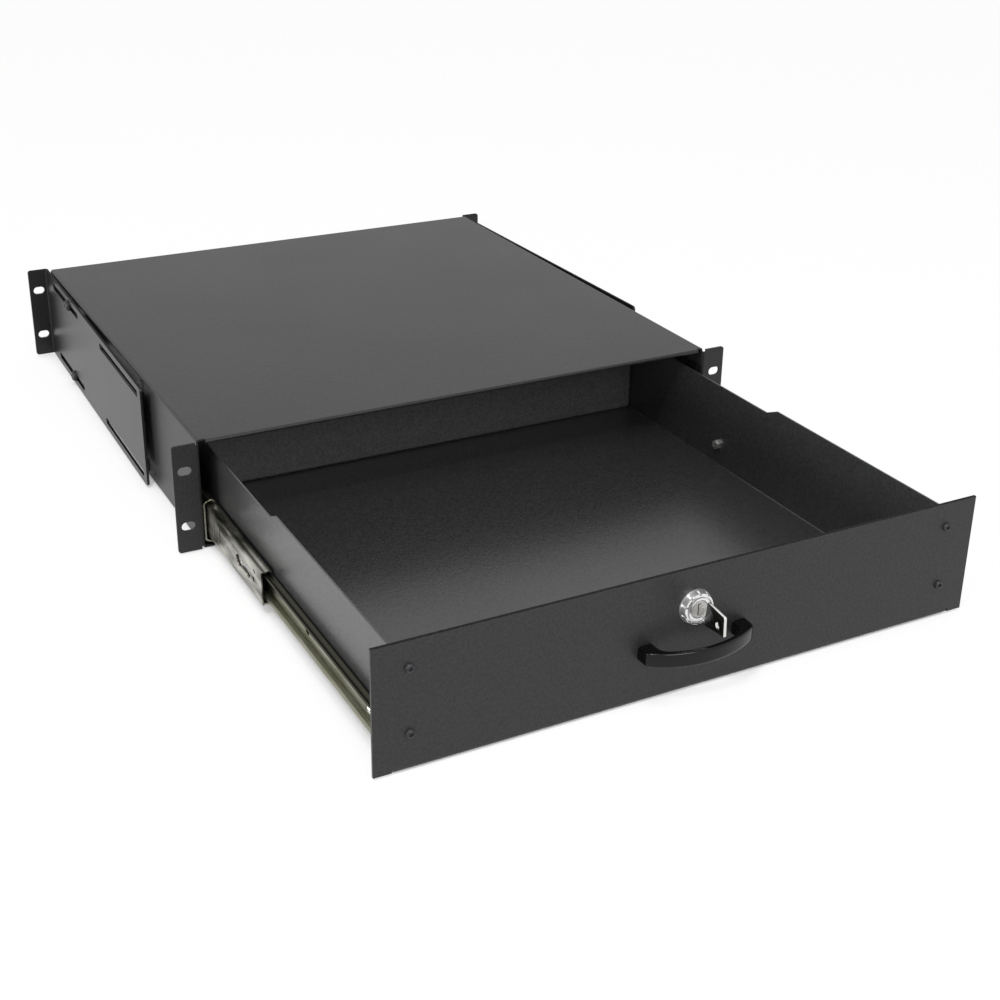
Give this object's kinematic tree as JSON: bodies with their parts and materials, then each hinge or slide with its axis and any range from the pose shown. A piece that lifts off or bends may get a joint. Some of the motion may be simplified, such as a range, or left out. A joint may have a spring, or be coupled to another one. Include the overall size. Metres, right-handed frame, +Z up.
{
  "type": "sliding rack drawer",
  "caption": "Steel drawer for a 19-inch rack, two units high, on telescopic ball-bearing slides, with bow handle, key lock and adjustable rear brackets.",
  "frame": {"origin": "middle of the plane of the front ears' faces, half-way up the ears", "axes": "+X to the right and +Z up as seen from the front, +Y to the back; the drawer comes out along -Y"},
  "size_m": [0.4826, 0.8166, 0.0885],
  "materials": {
    "case_paint": "fine satin powder coat, charcoal",
    "tray_paint": "fine-textured powder coat, near black",
    "panel_paint": "fine satin powder coat, charcoal",
    "bracket_paint": "fine satin powder coat, black",
    "slide_zinc": "bright zinc plating with a yellowish cast",
    "cage_steel": "bare rolled strip",
    "ball_steel": "polished balls",
    "zinc_fasteners": "bright zinc plating",
    "black_screws": "black oxide",
    "lock_chrome": "polished",
    "key_nickel": "nickel plated",
    "handle_black": "gloss black"
  },
  "bodies": {
    "case": {"case_shell": "case_paint", "case_back": "case_paint", "lock_strike": "case_paint", "slide_outer_left": "slide_zinc", "slide_outer_right": "slide_zinc", "slide_outer_screws_left": "zinc_fasteners", "slide_outer_screws_right": "zinc_fasteners", "bracket_inserts_left": "black_screws", "bracket_inserts_right": "black_screws", "bracket_washers_left": "black_screws", "bracket_washers_right": "black_screws", "bracket_screws_left": "black_screws", "bracket_screws_right": "black_screws"},
    "drawer": {"drawer_tray": "tray_paint", "drawer_back": "tray_paint", "front_panel": "panel_paint", "panel_screws": "black_screws", "panel_nuts": "zinc_fasteners", "pull_handle": "handle_black", "handle_screws": "zinc_fasteners", "lock_body": "lock_chrome", "lock_nut": "zinc_fasteners", "slide_inner_left": "slide_zinc", "slide_inner_right": "slide_zinc", "slide_inner_screws_left": "zinc_fasteners", "slide_inner_screws_right": "zinc_fasteners", "slide_inner_nuts_left": "zinc_fasteners", "slide_inner_nuts_right": "zinc_fasteners"},
    "lock_cylinder": {"lock_plug": "lock_chrome", "lock_cam": "zinc_fasteners", "cam_screw": "zinc_fasteners"},
    "key": {"key": "key_nickel"},
    "slide_middle_left": {"slide_middle_left": "slide_zinc"},
    "outer_cage_left": {"ball_cage_outer_left": "cage_steel", "balls_outer_left": "ball_steel"},
    "inner_cage_left": {"ball_cage_inner_left": "cage_steel", "balls_inner_left": "ball_steel"},
    "rear_bracket_left": {"rear_bracket_left": "bracket_paint"},
    "slide_middle_right": {"slide_middle_right": "slide_zinc"},
    "outer_cage_right": {"ball_cage_outer_right": "cage_steel", "balls_outer_right": "ball_steel"},
    "inner_cage_right": {"ball_cage_inner_right": "cage_steel", "balls_inner_right": "ball_steel"},
    "rear_bracket_right": {"rear_bracket_right": "bracket_paint"}
  },
  "joints": [
    {"name": "middle_slide_left", "type": "slide", "parent": "case", "child": "slide_middle_left", "axis": [0, 1, 0], "range_m": [-0.085, 0.115]},
    {"name": "middle_slide_right", "type": "slide", "parent": "case", "child": "slide_middle_right", "axis": [0, 1, 0], "range_m": [-0.085, 0.115]},
    {"name": "drawer_slide", "type": "slide", "parent": "slide_middle_left", "child": "drawer", "axis": [0, 1, 0], "range_m": [0, 0.2035]},
    {"name": "lock_turn", "type": "hinge", "parent": "drawer", "child": "lock_cylinder", "pos_m": [-0.004, -0.3207, 0.0168], "axis": [0, 1, 0], "range_deg": [0, 90]},
    {"name": "key_pull", "type": "slide", "parent": "lock_cylinder", "child": "key", "axis": [0, -1, 0], "range_m": [0, 0.028]},
    {"name": "bracket_adjust_left", "type": "slide", "parent": "case", "child": "rear_bracket_left", "axis": [0.0157, 0.9999, 0], "range_m": [-0.058, 0.032]},
    {"name": "bracket_adjust_right", "type": "slide", "parent": "case", "child": "rear_bracket_right", "axis": [-0.0157, 0.9999, 0], "range_m": [-0.058, 0.032]},
    {"name": "outer_cage_roll_left", "type": "slide", "parent": "case", "child": "outer_cage_left", "axis": [0, 1, 0], "range_m": [-0.0425, 0.0575]},
    {"name": "inner_cage_roll_left", "type": "slide", "parent": "slide_middle_left", "child": "inner_cage_left", "axis": [0, 1, 0], "range_m": [0, 0.10175]},
    {"name": "outer_cage_roll_right", "type": "slide", "parent": "case", "child": "outer_cage_right", "axis": [0, 1, 0], "range_m": [-0.0425, 0.0575]},
    {"name": "inner_cage_roll_right", "type": "slide", "parent": "slide_middle_right", "child": "inner_cage_right", "axis": [0, 1, 0], "range_m": [0, 0.10175]}
  ],
  "couplings": [
    {"joint": "middle_slide_right", "follows": "middle_slide_left", "ratio": 1},
    {"joint": "outer_cage_roll_left", "follows": "middle_slide_left", "ratio": 0.5},
    {"joint": "inner_cage_roll_left", "follows": "drawer_slide", "ratio": 0.5},
    {"joint": "outer_cage_roll_right", "follows": "middle_slide_left", "ratio": 0.5},
    {"joint": "inner_cage_roll_right", "follows": "drawer_slide", "ratio": 0.5}
  ]
}
